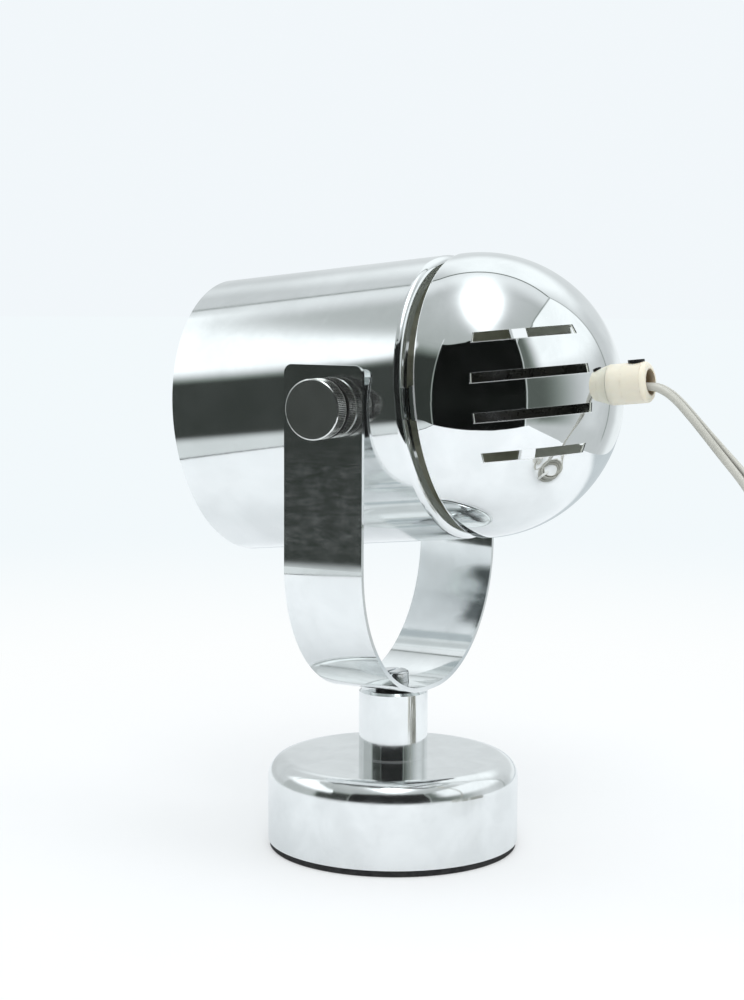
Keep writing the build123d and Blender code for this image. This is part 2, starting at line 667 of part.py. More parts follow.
with BuildPart() as switch_case_top:
    with BuildSketch(Plane.XY.offset(SW_PART)):
        with Locations(SW_C):
            RectangleRounded(SW_W, SW_L, 9.0)
    extrude(amount=SW_TOP - SW_PART)
    fillet(switch_case_top.edges().group_by(Axis.Z)[-1], 3.5)
    with BuildSketch(Plane.XY.offset(SW_PART)):
        with Locations(SW_C):
            RectangleRounded(SW_W - 2 * WALL - 2, SW_L - 2 * WALL - 2, 6.0)
    extrude(amount=SW_TOP - SW_PART - WALL - 0.8, mode=Mode.SUBTRACT)
    with BuildSketch(Plane.XY.offset(SW_PART)):
        with Locations((SW_C[0], SW_C[1] - 21), (SW_C[0], SW_C[1] + 21)):
            Circle(3.2)
    extrude(amount=SW_TOP - SW_PART - 1.5)
    with BuildSketch(Plane.XY.offset(SW_PART)):
        with Locations((SW_C[0], SW_C[1] - 21), (SW_C[0], SW_C[1] + 21)):
            Circle(1.5)
    extrude(amount=5.5, mode=Mode.SUBTRACT)
    with BuildSketch(Plane.XY.offset(SW_PART)):
        with Locations(SW_C):
            Rectangle(ROCK_W + 0.8, ROCK_L + 0.8)
    extrude(amount=20, mode=Mode.SUBTRACT)
finish(switch_case_top.part, "switch_case_top")

ROCK_AX_Z = 13.6
with BuildPart() as switch_rocker:
    with BuildSketch(Plane(origin=(SW_C[0], SW_C[1], ROCK_AX_Z), x_dir=(0, 1, 0), z_dir=(1, 0, 0))):
        with BuildLine():
            # ends are arcs about the pin, so that they pass the opening's edges
            r = ROCK_L / 2
            p1 = (math.sqrt(r**2 - 2.2**2), -2.2)
            p2 = (math.sqrt(r**2 - 3.4**2), 3.4)
            p3 = (-math.sqrt(r**2 - 6.4**2), 6.4)
            p4 = (-p1[0], -2.2)
            Line(p4, p1)
            ThreePointArc(p1, (r, 0), p2)
            ThreePointArc(p2, (1.2, 4.2), p3)
            ThreePointArc(p3, (-r, 0), p4)
        make_face()
    extrude(amount=ROCK_W / 2, both=True)
    with BuildSketch(Plane(origin=(SW_C[0], SW_C[1], ROCK_AX_Z), x_dir=(0, 1, 0), z_dir=(1, 0, 0))):
        Circle(1.2)
    extrude(amount=ROCK_W / 2, both=True, mode=Mode.SUBTRACT)
finish(switch_rocker.part, "switch_rocker")

with BuildPart() as rocker_pin:
    with BuildSketch(Plane(origin=(SW_C[0], SW_C[1], ROCK_AX_Z), x_dir=(0, 1, 0), z_dir=(1, 0, 0))):
        Circle(1.15)
    extrude(amount=ROCK_W / 2 + 0.4, both=True)
finish(rocker_pin.part, "rocker_pin")

with BuildPart() as switch_screws:
    for dy in (-21, 21):
        with BuildSketch(Plane.XY.offset(0.4)):
            with Locations((SW_C[0], SW_C[1] + dy)):
                Circle(2.5)
        extrude(amount=1.8)
        with BuildSketch(Plane.XY.offset(2.2)):
            with Locations((SW_C[0], SW_C[1] + dy)):
                Circle(1.5)
        extrude(amount=10.5)
finish(switch_screws.part, "switch_screws")

# --- flat two-pin plug -------------------------------------------------------
PLUG = Plane(origin=(PLUG_BACK.X, PLUG_BACK.Y, 0), x_dir=(PLUG_DIR.Y, -PLUG_DIR.X, 0),
             z_dir=(0, 0, 1))        # local y runs from the cord to the pins
with BuildPart() as plug_body:
    with BuildSketch(PLUG.offset(0.2)):
        with BuildLine():
            Polyline((-3.2, 0), (3.2, 0), (4.4, 9.0), (8.5, 14.0), (12.6, 24.0), (12.6, 42.0),
                     (-12.6, 42.0), (-12.6, 24.0), (-8.5, 14.0), (-4.4, 9.0), (-3.2, 0))
        make_face()
    extrude(amount=13.4)
    fillet(plug_body.edges().filter_by(Axis.Z), 1.6)
    fillet(plug_body.edges().group_by(Axis.Z)[-1], 1.2)
    fillet(plug_body.edges().group_by(Axis.Z)[0], 1.2)
finish(plug_body.part, "plug_body")

with BuildPart() as plug_pins:
    for s in (-1, 1):
        o = PLUG.from_local_coords(Vector(s * 9.0, 42.0, 6.9))
        with BuildSketch(Plane(origin=o, x_dir=(0, 0, 1), z_dir=PLUG_DIR)):
            Circle(2.0)
        extrude(amount=19.0)
finish(plug_pins.part, "plug_pins")

print("tube lengths %.0f %.0f %.0f sum %.0f" % (L1, L2, L3, L1 + L2 + L3))
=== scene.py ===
import bpy, bmesh, math, random
from mathutils import Vector, Matrix


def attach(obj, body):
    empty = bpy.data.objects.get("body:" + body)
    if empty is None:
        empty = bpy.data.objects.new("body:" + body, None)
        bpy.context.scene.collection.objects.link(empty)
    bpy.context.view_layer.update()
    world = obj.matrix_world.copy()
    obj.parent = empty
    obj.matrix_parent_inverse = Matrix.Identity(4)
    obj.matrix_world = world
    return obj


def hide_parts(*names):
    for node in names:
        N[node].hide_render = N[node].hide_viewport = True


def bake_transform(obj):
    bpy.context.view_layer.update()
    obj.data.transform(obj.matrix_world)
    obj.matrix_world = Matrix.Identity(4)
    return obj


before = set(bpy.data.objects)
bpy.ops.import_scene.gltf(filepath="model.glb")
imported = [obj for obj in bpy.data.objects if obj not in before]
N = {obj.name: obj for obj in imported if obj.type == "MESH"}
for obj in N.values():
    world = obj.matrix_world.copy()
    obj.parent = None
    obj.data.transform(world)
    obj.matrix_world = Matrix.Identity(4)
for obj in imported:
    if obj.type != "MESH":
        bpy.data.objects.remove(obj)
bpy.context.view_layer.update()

random.seed(7)
scene = bpy.context.scene
link = scene.collection.objects.link
MM = 0.001

# the head's own axes: HY along the shade to the rear cap, HZ across it, upwards
PITCH = math.radians(6.0)
HY = Vector((0, math.cos(PITCH), math.sin(PITCH)))
HZ = Vector((0, -math.sin(PITCH), math.cos(PITCH)))
PIVOT = Vector((0, 3.1, 162.5)) * MM
HEAD_O = PIVOT - HZ * 0.8 * MM
SLOT_Z, SLOT_W, SLOT_IN_X, SLOT_FRONT = (-19.9, -6.6, 6.6, 19.9), 3.1, 14.4, 49.4     # mm, the head's own axes


def head_point(x, y, z):
    """Point in the head's own axes, in mm, as metres in the row frame."""
    return HEAD_O + (Vector((x, 0, 0)) + HY * y + HZ * z) * MM


# ---------------------------------------------------------------------------
# camera
# ---------------------------------------------------------------------------
cam_data = bpy.data.cameras.new("camera")
cam_data.sensor_width = 36.0
cam_data.lens = 74.28
cam_data.clip_start, cam_data.clip_end = 0.02, 60.0
cam = bpy.data.objects.new("camera", cam_data)
link(cam)
right = Vector((-0.47516598, 0.87988305, 0.00480598))
up = Vector((-0.09394785, -0.05616419, 0.99399164))
back = -Vector((-0.87486633, -0.47185951, -0.10935044))
cam.matrix_world = Matrix(((right.x, up.x, back.x, 0.653855), (right.y, up.y, back.y, 0.343412),
                           (right.z, up.z, back.z, 0.207401), (0, 0, 0, 1)))
scene.camera = cam

# ---------------------------------------------------------------------------
# cord: flat twin flex, 5.4 x 2.7 mm
# ---------------------------------------------------------------------------
CORD_W, CORD_H = 5.4 * MM, 2.7 * MM
SWITCH_X, SWITCH_Y0, SWITCH_Y1, SWITCH_Z = 38.0, 206.0, 266.0, 8.5
COIL_C = (-22.0, 197.0)
COIL_OUT = 40.0
EXIT = head_point(0, 94.3, -1.2)

LEAD = [tuple(v / MM for v in head_point(0, 84.0, -1.2)),
        tuple(v / MM for v in EXIT),
        (0.0, 101.7, 169.05), (0.2, 106.2, 166.1), (0.5, 112.0, 160.3), (1.2, 121.4, 150.3),
        (2.4, 134.9, 136.6), (5.2, 148.9, 114.4), (10.1, 156.4, 80.8), (16.6, 160.0, 46.0),
        (24.6, 169.0, 20.5), (32.0, 183.0, 11.6), (37.6, 195.0, 8.7),
        (SWITCH_X, SWITCH_Y0, SWITCH_Z), (SWITCH_X, SWITCH_Y0 + 3.0, SWITCH_Z)]


def coil_point(deg, r, z):
    a = math.radians(deg)
    return (COIL_C[0] + r * math.cos(a), COIL_C[1] + r * math.sin(a), z)


LINK = [(SWITCH_X, SWITCH_Y1 - 3.0, SWITCH_Z), (SWITCH_X, SWITCH_Y1, SWITCH_Z), (38.0, 278.6, 8.5),
        (30.0, 290.4, 4.6), (16.6, 295.4, 2.9), (2.8, 291.4, 2.9), (-6.2, 280.0, 2.9),
        (-5.2, 265.0, 3.0), (-0.6, 251.2, 3.4), (3.8, 237.6, 4.6), coil_point(42, COIL_OUT - 1.2, 6.0)]
TAIL = [coil_point(150, COIL_OUT - 1.2, 6.0), (-53.2, 226.2, 6.2), (-50.0, 236.2, 6.9),
        (-48.4, 246.2, 6.9), (-47.9, 249.2, 6.9)]

# the coil's turns: radius and height of the cord's middle in each, from the way in to the way out
TURNS = [(36.9, 2.9), (31.1, 2.9), (25.3, 2.9), (28.2, 8.4), (34.0, 8.4), (28.8, 13.9), (34.6, 13.9)]
STEPS = 100
COIL = []
for k in range(1, STEPS):
    u = k / STEPS * (len(TURNS) - 0.3)              # turns so far
    i = min(int(u), len(TURNS) - 1)
    r, z = TURNS[i]
    if i:                                           # crosses over from the last turn's place
        w = min(1.0, (u - i) / 0.22)
        w = w * w * (3 - 2 * w)
        r = TURNS[i - 1][0] * (1 - w) + r * w
        z = TURNS[i - 1][1] * (1 - w) + z * w
    w_in = min(1.0, u / 0.16)
    r, z = 38.8 * (1 - w_in) + r * w_in, 6.0 * (1 - w_in) + z * w_in
    w_out = min(1.0, (len(TURNS) - 0.3 - u) / 0.17)
    r, z = 38.8 * (1 - w_out) + r * w_out, 6.0 * (1 - w_out) + z * w_out
    COIL.append(coil_point(42 - 2412.0 * k / STEPS, r / 0.985 + 0.25 * math.sin(k * 1.7),
                           z + 0.12 * math.sin(k * 2.3)))


def smooth_line(name, points):
    """Points, in metres, along the NURBS spline whose control points these are, in mm."""
    c = bpy.data.curves.new(name, "CURVE")
    c.dimensions = "3D"
    s = c.splines.new("NURBS")
    s.points.add(len(points) - 1)
    for p, q in zip(s.points, points):
        p.co = (q[0] * MM, q[1] * MM, q[2] * MM, 1)
    s.order_u = 3
    s.use_endpoint_u = True
    s.resolution_u = 12
    o = bpy.data.objects.new(name, c)
    link(o)
    bpy.context.view_layer.update()
    dg = bpy.context.evaluated_depsgraph_get()
    me = bpy.data.meshes.new_from_object(o.evaluated_get(dg))
    raw = [v.co.copy() for v in me.vertices]
    bpy.data.objects.remove(o)
    bpy.data.meshes.remove(me)
    return raw


def even(points, step):
    """The same line with its points about a step apart."""
    out, left = [points[0].copy()], step
    for a, b in zip(points, points[1:]):
        d = (b - a).length
        while d > left and d > 1e-9:
            a = a.lerp(b, left / d)
            out.append(a.copy())
            d -= left
            left = step
        left -= d
    if (out[-1] - points[-1]).length > step * 0.3:
        out.append(points[-1].copy())
    return out


def twin_profile():
    """Two round cores side by side with a thin web between them: a closed outline in mm."""
    r, c, web = 1.37, 1.33, 0.62
    lobe = []
    a0 = math.degrees(math.asin(web / r))
    for k in range(13):
        t = math.radians(180 - a0 - (360 - 2 * a0) * k / 12)
        lobe.append((c + r * math.cos(t), r * math.sin(t)))
    return lobe + [(-x, -y) for x, y in lobe]


def sweep_twin(name, line, wide, ends=True):
    """The flat cord along line; wide(k, share) is the direction of its wide side there."""
    prof = twin_profile()
    bm = bmesh.new()
    rings = []
    n = len(line)
    travelled = [0.0]
    for a, b in zip(line, line[1:]):
        travelled.append(travelled[-1] + (b - a).length)
    for k, p in enumerate(line):
        t = (line[min(k + 1, n - 1)] - line[max(k - 1, 0)]).normalized()
        w = wide(p, travelled[k], travelled[-1])
        w = (w - t * w.dot(t)).normalized()
        h = t.cross(w)
        rings.append([bm.verts.new(p + w * x * MM + h * y * MM) for x, y in prof])
    m = len(prof)
    for a, b in zip(rings, rings[1:]):
        for j in range(m):
            bm.faces.new((a[j], a[(j + 1) % m], b[(j + 1) % m], b[j]))
    bm.faces.new(list(reversed(rings[0])))
    bm.faces.new(rings[-1])
    bmesh.ops.recalc_face_normals(bm, faces=bm.faces)
    me = bpy.data.meshes.new(name)
    bm.to_mesh(me)
    bm.free()
    for f in me.polygons:
        f.use_smooth = True
    # each point's place along the cord, and its distance from the middle across it; the cord's material reads the
    # latter
    at = me.attributes.new("along", "FLOAT", "POINT")
    at.data.foreach_set("value", [travelled[k] for k in range(n) for _ in range(m)])
    at = me.attributes.new("across", "FLOAT", "POINT")
    at.data.foreach_set("value", [abs(x) for _ in range(n) for x, y in prof])
    o = bpy.data.objects.new(name, me)
    link(o)
    return o


lead_line = even(smooth_line("lead_route", LEAD), 1.2 * MM)
tail_line = even(smooth_line("tail_route", LINK + COIL + TAIL), 1.3 * MM)


def step01(v, a, b):
    w = min(1.0, max(0.0, (v - a) / (b - a)))
    return w * w * (3 - 2 * w)


def lead_wide(p, s, total):
    # lies across in the grip, turns a little as it falls, flat again at the switch
    flat = Vector((1, 0, 0))
    tall = Vector((0.55, -0.70, -0.45))
    w = step01(s, 0.022, 0.078) * (1 - step01(s, total - 0.085, total - 0.02))
    return flat * (1 - w) + tall * w


def tail_wide(p, s, total):
    # flat at the switch and the plug, on its edge between them
    flat = Vector((1, 0, 0))
    tall = Vector((0, 0, 1))
    w = step01(s, 0.004, 0.026) * (1 - step01(s, total - 0.03, total - 0.006))
    return flat * (1 - w) + tall * w


cord_lead = sweep_twin("flex_lead", lead_line, lead_wide)
cord_rest = sweep_twin("flex_rest", tail_line, tail_wide)
lead_len = sum((b - a).length for a, b in zip(lead_line, lead_line[1:]))
rest_len = sum((b - a).length for a, b in zip(tail_line, tail_line[1:]))
print("flex lengths", round(lead_len, 4), round(rest_len, 4))

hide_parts("cord_stub", "cord_lead")
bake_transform(cord_lead)
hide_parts("cord_link", "cord_coil", "cord_tail")
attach(cord_rest, "yoke")

# ---------------------------------------------------------------------------
# materials
# ---------------------------------------------------------------------------


def new_mat(name):
    m = bpy.data.materials.new(name)
    m.use_nodes = True
    nt = m.node_tree
    nt.nodes.clear()
    out = nt.nodes.new("ShaderNodeOutputMaterial")
    b = nt.nodes.new("ShaderNodeBsdfPrincipled")
    nt.links.new(b.outputs["BSDF"], out.inputs["Surface"])
    return m, nt, b


def coords(nt, scale=(1, 1, 1), rotate=(0, 0, 0)):
    tc = nt.nodes.new("ShaderNodeTexCoord")
    mp = nt.nodes.new("ShaderNodeMapping")
    mp.inputs["Scale"].default_value = scale
    mp.inputs["Rotation"].default_value = rotate
    nt.links.new(tc.outputs["Object"], mp.inputs["Vector"])
    return mp.outputs["Vector"]


def noise(nt, vec, scale, detail=3.0, rough=0.55, distort=0.0):
    n = nt.nodes.new("ShaderNodeTexNoise")
    n.inputs["Scale"].default_value = scale
    n.inputs["Detail"].default_value = detail
    n.inputs["Roughness"].default_value = rough
    n.inputs["Distortion"].default_value = distort
    nt.links.new(vec, n.inputs["Vector"])
    return n.outputs["Fac"]


def ranged(nt, fac, lo, hi, a=0.35, b=0.65, smooth=True):
    m = nt.nodes.new("ShaderNodeMapRange")
    if smooth:
        m.interpolation_type = "SMOOTHSTEP"
    m.inputs["From Min"].default_value = a
    m.inputs["From Max"].default_value = b
    m.inputs["To Min"].default_value = lo
    m.inputs["To Max"].default_value = hi
    nt.links.new(fac, m.inputs["Value"])
    return m.outputs["Result"]


def mixed(nt, fac, c1, c2):
    m = nt.nodes.new("ShaderNodeMix")
    m.data_type = "RGBA"
    for s, c in (("A", c1), ("B", c2)):
        sock = [i for i in m.inputs if i.name == s and i.type == "RGBA"][0]
        if isinstance(c, (tuple, list)):
            sock.default_value = (c[0], c[1], c[2], 1)
        else:
            nt.links.new(c, sock)
    f = [i for i in m.inputs if i.name == "Factor" and i.type == "VALUE"][0]
    nt.links.new(fac, f)
    return [o for o in m.outputs if o.type == "RGBA"][0]


def bumped(nt, bsdf, height, strength, distance, prev=None):
    b = nt.nodes.new("ShaderNodeBump")
    b.inputs["Strength"].default_value = strength
    b.inputs["Distance"].default_value = distance
    nt.links.new(height, b.inputs["Height"])
    if prev is not None:
        nt.links.new(prev, b.inputs["Normal"])
    nt.links.new(b.outputs["Normal"], bsdf.inputs["Normal"])
    return b.outputs["Normal"]


def added(nt, a, b, op="ADD"):
    m = nt.nodes.new("ShaderNodeMath")
    m.operation = op
    for k, v in ((0, a), (1, b)):
        if isinstance(v, (int, float)):
            m.inputs[k].default_value = v
        else:
            nt.links.new(v, m.inputs[k])
    return m.outputs[0]


class Num:
    """A number worked out by nodes, so that a formula reads as one."""

    def __init__(self, nt, sock):
        self.nt, self.s = nt, sock

    def op(self, name, other=None, swap=False):
        m = self.nt.nodes.new("ShaderNodeMath")
        m.operation = name
        for k, val in enumerate((other, self) if swap else (self, other)):
            if isinstance(val, Num):
                self.nt.links.new(val.s, m.inputs[k])
            elif val is not None:
                m.inputs[k].default_value = float(val)
        return Num(self.nt, m.outputs[0])

    def __add__(self, o):
        return self.op("ADD", o)

    def __sub__(self, o):
        return self.op("SUBTRACT", o)

    def __mul__(self, o):
        return self.op("MULTIPLY", o)

    def __truediv__(self, o):
        return self.op("DIVIDE", o)

    def __rsub__(self, o):
        return self.op("SUBTRACT", o, True)

    __radd__, __rmul__ = __add__, __mul__


def smooth(x, a, b, lo=0.0, hi=1.0):
    """lo below a, hi above b, smooth between; a may be the larger."""
    return Num(x.nt, ranged(x.nt, x.s, lo, hi, a, b))


def gauss(x, width):
    q = x / width
    return (q * q * -1.0).op("EXPONENT")


def between(f, a, b):
    """a where f is 0, b where it is 1."""
    return (b - a) * f + a


def vec(nt, op, a, b=None, scale=None):
    m = nt.nodes.new("ShaderNodeVectorMath")
    m.operation = op
    for k, val in ((0, a), (1, b)):
        if val is None:
            continue
        if isinstance(val, (tuple, list, Vector)):
            m.inputs[k].default_value = tuple(val)
        else:
            nt.links.new(val, m.inputs[k])
    if scale is not None:
        if isinstance(scale, Num):
            nt.links.new(scale.s, m.inputs["Scale"])
        else:
            m.inputs["Scale"].default_value = scale
    return Num(nt, m.outputs["Value"]) if op in ("DOT_PRODUCT", "LENGTH") else m.outputs["Vector"]


def round_axis(nt, origin, axis):
    """For a turned piece: distance along its axis, distance from it, and the way outwards, in metres."""
    tc = nt.nodes.new("ShaderNodeTexCoord")
    rel = vec(nt, "SUBTRACT", tc.outputs["Object"], origin)
    along = vec(nt, "DOT_PRODUCT", rel, axis)
    out = vec(nt, "SUBTRACT", rel, vec(nt, "SCALE", tuple(axis), scale=along))
    return along, vec(nt, "LENGTH", out), vec(nt, "NORMALIZE", out)


def lathe_marks(nt, b, amount, origin, axis):
    """Fine turning marks run round the piece, so its highlights stretch across them, along its profile."""
    along, far, out = round_axis(nt, origin, axis)
    tr = nt.nodes.new("ShaderNodeVectorTransform")
    tr.vector_type, tr.convert_from, tr.convert_to = "VECTOR", "OBJECT", "WORLD"
    nt.links.new(vec(nt, "SUBTRACT", tuple(axis), out), tr.inputs[0])
    nt.links.new(tr.outputs[0], b.inputs["Tangent"])
    b.inputs["Anisotropic"].default_value = amount


def tube_inside(nt):
    """1 on the shade tube's inner face, 0 outside."""
    along, far, out = round_axis(nt, HEAD_O, HY)
    dx = (far - 47.2 * MM).op("MAXIMUM", 0.0)
    dy = (along - 22.8 * MM).op("MAXIMUM", 0.0)
    deep = 2.8 * MM - (dx * dx + dy * dy).op("SQRT")
    return smooth(deep, 0.3 * MM, 0.5 * MM)


def cap_inside(nt):
    """1 on the rear cap's inner face, 0 outside and on the spring tabs."""
    tc = nt.nodes.new("ShaderNodeTexCoord")
    far = vec(nt, "LENGTH", vec(nt, "SUBTRACT", tc.outputs["Object"], head_point(0, 30.8, 0)))
    along = round_axis(nt, HEAD_O, HY)[0]
    return smooth(far, 49.7 * MM, 49.5 * MM) * smooth(along, 29.2 * MM, 29.6 * MM)


def cap_edge_highlight(nt):
    """1 on the rounded edges of the cap's rim and slots, where duller metal gives a painted highlight, strongest on
    each slot's lower edge.
    """
    tc = nt.nodes.new("ShaderNodeTexCoord")
    rel = vec(nt, "SUBTRACT", tc.outputs["Object"], HEAD_O)
    along, far, out = round_axis(nt, HEAD_O, HY)
    high = vec(nt, "DOT_PRODUCT", rel, HZ)
    wide = vec(nt, "DOT_PRODUCT", rel, Vector((1, 0, 0))).op("ABSOLUTE")
    edge = smooth(along, 30.85 * MM, 30.65 * MM) * smooth(along, 29.9 * MM, 30.2 * MM)
    for z in SLOT_Z:
        d = (high - z * MM).op("ABSOLUTE") - SLOT_W / 2 * MM
        d = d.op("MAXIMUM", SLOT_IN_X * MM - wide).op("MAXIMUM", SLOT_FRONT * MM - along)
        low = smooth(z * MM - high, (SLOT_W / 2 - 0.5) * MM, SLOT_W / 2 * MM)
        edge = edge.op("MAXIMUM", smooth(d, 0.34 * MM, 0.20 * MM) * (low * 0.8 + 0.2))
    return edge


def chrome(name, light=(0.86, 0.88, 0.88), dark=(0.78, 0.80, 0.80), r=(0.03, 0.09), smudge=55.0, wave=0.0,
           turned=None, haze=(0.985, 0.985), mottle=0.0, foot=None, edges=None, inside=None,
           inner=((0.60, 0.60, 0.50), (0.46, 0.46, 0.37)), inner_r=(0.42, 0.6)):
    """Plated metal. Smudges change the gloss, a slow wave bends what it mirrors, haze is the share of fine
    scratches that scatter, turned gives the axis of turning marks, inside marks the unpolished inner face."""
    m, nt, b = new_mat(name)
    v = coords(nt)
    s1 = noise(nt, v, smudge, 4.0, 0.6, 0.4)
    s2 = noise(nt, v, smudge * 9, 2.0, 0.5)
    col = mixed(nt, ranged(nt, s1, 0, 1, 0.3, 0.72), light, dark)
    rough = added(nt, ranged(nt, s1, r[0], r[1], 0.35, 0.75), ranged(nt, s2, 0.0, 0.02, 0.5, 0.8))
    metal = Num(nt, ranged(nt, noise(nt, v, smudge * 2.2, 5.0, 0.65), haze[0], haze[1], 0.34, 0.66))
    prev = None
    if turned:
        lathe_marks(nt, b, *turned)
    if wave:
        prev = bumped(nt, b, noise(nt, v, 26.0, 1.0, 0.4), wave, 0.001, prev)
    if mottle:
        # soft blotches and short marks across the strip, strongest along the middle of the arms
        tc = nt.nodes.new("ShaderNodeTexCoord")
        sep = nt.nodes.new("ShaderNodeSeparateXYZ")
        nt.links.new(tc.outputs["Object"], sep.inputs[0])
        z = Num(nt, sep.outputs[2])
        x, y = Num(nt, sep.outputs[0]), Num(nt, sep.outputs[1])
        where = smooth(z, 0.108, 0.116) * smooth(z, 0.158, 0.140) * 0.9 + 0.1
        blot = Num(nt, noise(nt, coords(nt, (1.0, 0.45, 1.0)), 380.0, 3.0, 0.6, 0.3))
        fine = Num(nt, noise(nt, coords(nt, (1.0, 0.30, 1.4)), 900.0, 2.0, 0.5))
        mark = (smooth(blot, 0.36, 0.76) * 0.7 + smooth(fine, 0.36, 0.76) * 0.3) * where
        metal = metal - mark * 0.060 * mottle
        # from the strip's middle line: outside above 0, inside below
        dx = (x.op("ABSOLUTE") - 3.5 * MM).op("MAXIMUM", 0.0)
        dz = (z - 107.5 * MM).op("MINIMUM", 0.0)
        side = (dx * dx + dz * dz).op("SQRT") - 48.1 * MM
        outer = smooth(side, 0.55 * MM, 0.68 * MM)
        inner_face = smooth(side, -0.55 * MM, -0.68 * MM)
        rough = (mark * 0.04 * mottle + outer * smooth(z, 0.112, 0.119) * 0.055 + Num(nt, rough)).s
        # painted shade: the arms' outsides are darkened above the bend, standing in for the darker room they mirror
        col = mixed(nt, (outer * smooth(z, 0.108, 0.124) * (0.20 - mark * 0.10)).s, col, (0.10, 0.11, 0.10))
        prev = bumped(nt, b, mark.s, 0.012 * mottle, 0.0003, prev)
        # the bend sets in gently
        prev = bumped(nt, b, (smooth(z, 0.088, 0.112) * (outer - inner_face)).s, 1.0, 0.0012, prev)
        # painted reflection: a dark patch inside the far arm, along one edge, standing in for something dark it mirrors
        dark_reflection_patch = inner_face * smooth(x, -0.036, -0.040) * smooth(z, 0.074, 0.079) * smooth(z, 0.0985, 0.0945)
        uneven = Num(nt, noise(nt, coords(nt, (1.0, 0.4, 1.0)), 110.0, 2.0, 0.5)) - 0.5
        dark_reflection_patch = dark_reflection_patch * smooth(y + uneven * 16.0 * MM, 5.0 * MM, 12.5 * MM) * smooth(uneven, -0.22, 0.02, 0.35, 1.0)
        col = mixed(nt, (dark_reflection_patch * 0.86).s, col, (0.07, 0.085, 0.085))
    if foot:
        # a line of grime and dull metal where the piece stands on the next
        tc = nt.nodes.new("ShaderNodeTexCoord")
        sep = nt.nodes.new("ShaderNodeSeparateXYZ")
        nt.links.new(tc.outputs["Object"], sep.inputs[0])
        metal = metal - smooth(Num(nt, sep.outputs[2]), foot, foot - 0.0003) * 0.16
    # painted highlight: the edges given are made duller metal, so they show as bright lines
    if edges:
        metal = metal - edges(nt) * 0.34
    if inside:
        f = inside(nt)
        n = noise(nt, v, 110.0, 3.0, 0.5)
        col = mixed(nt, f.s, col, mixed(nt, ranged(nt, n, 0, 1, 0.25, 0.8), inner[0], inner[1]))
        rough = between(f, Num(nt, rough), Num(nt, ranged(nt, n, inner_r[0], inner_r[1]))).s
        metal = between(f, metal, metal * 0.0 + 0.12)
    nt.links.new(col, b.inputs["Base Color"])
    nt.links.new(rough, b.inputs["Roughness"])
    nt.links.new(metal.s, b.inputs["Metallic"])
    return m


def plastic(name, c1, c2, r=(0.35, 0.5), scale=60.0, bump=0.1, sub=0.0, ior=1.5, coat=0.0, metal=0.0, grit=900.0):
    m, nt, b = new_mat(name)
    v = coords(nt)
    n = noise(nt, v, scale, 4.0, 0.6)
    nt.links.new(mixed(nt, ranged(nt, n, 0, 1, 0.3, 0.7), c1, c2), b.inputs["Base Color"])
    nt.links.new(ranged(nt, noise(nt, v, scale * 3, 3.0), r[0], r[1], 0.3, 0.7), b.inputs["Roughness"])
    b.inputs["IOR"].default_value = ior
    b.inputs["Metallic"].default_value = metal
    if sub:
        b.inputs["Subsurface Weight"].default_value = sub
        b.inputs["Subsurface Radius"].default_value = (0.004, 0.003, 0.002)
        b.inputs["Subsurface Scale"].default_value = 0.6
    if coat:
        b.inputs["Coat Weight"].default_value = coat
        b.inputs["Coat Roughness"].default_value = 0.08
    if bump:
        bumped(nt, b, noise(nt, v, grit, 2.0), bump, 0.0002)
    return m


MAT = {}
Z_AXIS, ORIGIN = Vector((0, 0, 1)), Vector((0, 0, 0))
MAT["base_shell"] = chrome("chrome_base", r=(0.10, 0.14), smudge=70.0, wave=0.012, haze=(0.978, 0.994),
                           turned=(0.92, ORIGIN, Z_AXIS))
MAT["stem_tube"] = chrome("chrome_stem", r=(0.06, 0.09), smudge=60.0, haze=(0.978, 0.99),
                          turned=(0.4, ORIGIN, Z_AXIS), foot=0.0334)
MAT["yoke"] = chrome("chrome_yoke", r=(0.05, 0.09), smudge=50.0, wave=0.03, haze=(0.984, 0.992), mottle=1.0)
MAT["shade_tube"] = chrome("chrome_shade", r=(0.075, 0.10), smudge=35.0, haze=(0.982, 0.992),
                           turned=(0.8, HEAD_O, HY), inside=tube_inside)
MAT["rear_cap"] = chrome("chrome_cap", r=(0.012, 0.035), smudge=60.0, wave=0.010, haze=(0.995, 0.999),
                         edges=cap_edge_highlight, inside=cap_inside, inner=((0.93, 0.96, 0.90), (0.82, 0.85, 0.77)))
MAT["knob"] = chrome("chrome_knob", light=(0.80, 0.81, 0.80), dark=(0.66, 0.67, 0.65), r=(0.08, 0.13), smudge=45.0,
                     haze=(0.960, 0.972))
MAT["knurl"] = chrome("knurled_rim", light=(0.34, 0.345, 0.32), dark=(0.16, 0.165, 0.155), r=(0.22, 0.34), smudge=260.0,
                      haze=(0.88, 0.94))
nt = MAT["knurl"].node_tree
b = [n for n in nt.nodes if n.type == "BSDF_PRINCIPLED"][0]
at = nt.nodes.new("ShaderNodeAttribute")
at.attribute_name = "tooth"
# painted highlight on the knurl's tooth crests and painted shade in its valleys, so the teeth stand out
crest_highlight = smooth(Num(nt, at.outputs["Fac"]), 0.55, 0.10)
nt.links.new(mixed(nt, (crest_highlight * 0.8).s, b.inputs["Base Color"].links[0].from_socket, (0.74, 0.75, 0.72)),
             b.inputs["Base Color"])
valley_shade = smooth(Num(nt, at.outputs["Fac"]), 0.55, 0.95)
nt.links.new(mixed(nt, valley_shade.s, b.inputs["Base Color"].links[0].from_socket, (0.035, 0.036, 0.033)),
             b.inputs["Base Color"])
MAT["groove"] = plastic("knob_groove", (0.010, 0.010, 0.010), (0.022, 0.021, 0.019), r=(0.5, 0.7), scale=300, bump=0.2,
                        metal=0.3)
MAT["screw_steel"] = chrome("plated_screw", light=(0.8, 0.82, 0.83), dark=(0.62, 0.64, 0.65), r=(0.08, 0.2), smudge=200.0,
                            haze=(0.93, 0.96))
